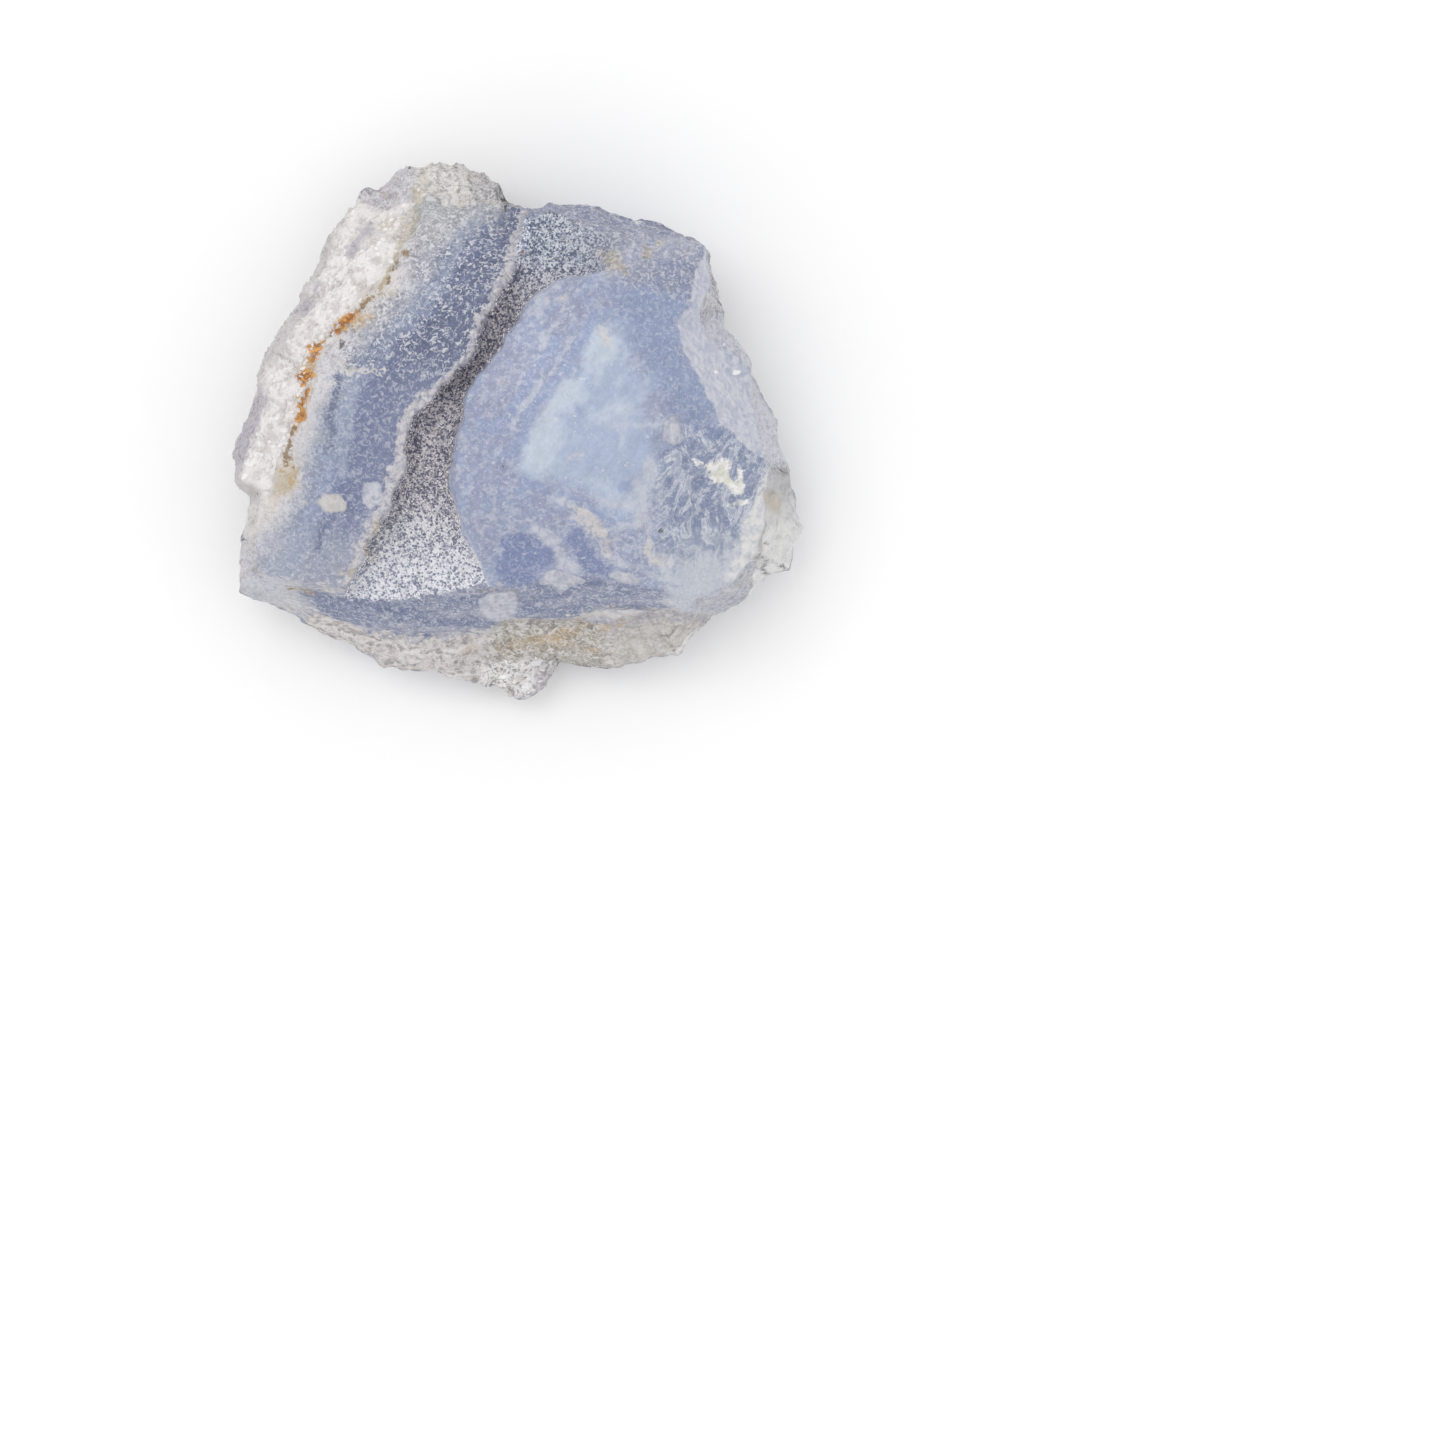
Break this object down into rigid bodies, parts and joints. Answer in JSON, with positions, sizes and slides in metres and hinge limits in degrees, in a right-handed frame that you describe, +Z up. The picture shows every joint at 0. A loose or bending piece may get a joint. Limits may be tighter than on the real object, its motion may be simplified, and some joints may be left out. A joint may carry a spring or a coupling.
{
  "type": "rough blue lace agate stone",
  "caption": "Rough broken lump of blue lace agate with a banded bench, a matt grained trough, a smooth domed lobe and a white quartz crust. It lies on a flat broken base.",
  "frame": {"origin": "middle of the stone's bounding box in plan, at the level of its flat base", "axes": "+X along the stone's longest side, to the right of the picture; +Y to the picture's top; +Z up, from the base to the banded face"},
  "size_m": [0.0358, 0.034, 0.0165],
  "materials": {
    "chalcedony": "waxy pale lavender-blue chalcedony with a sugary white quartz crust, matt grain and iron-orange stain"
  },
  "bodies": {
    "root": {"agate": "chalcedony"}
  },
  "joints": []
}
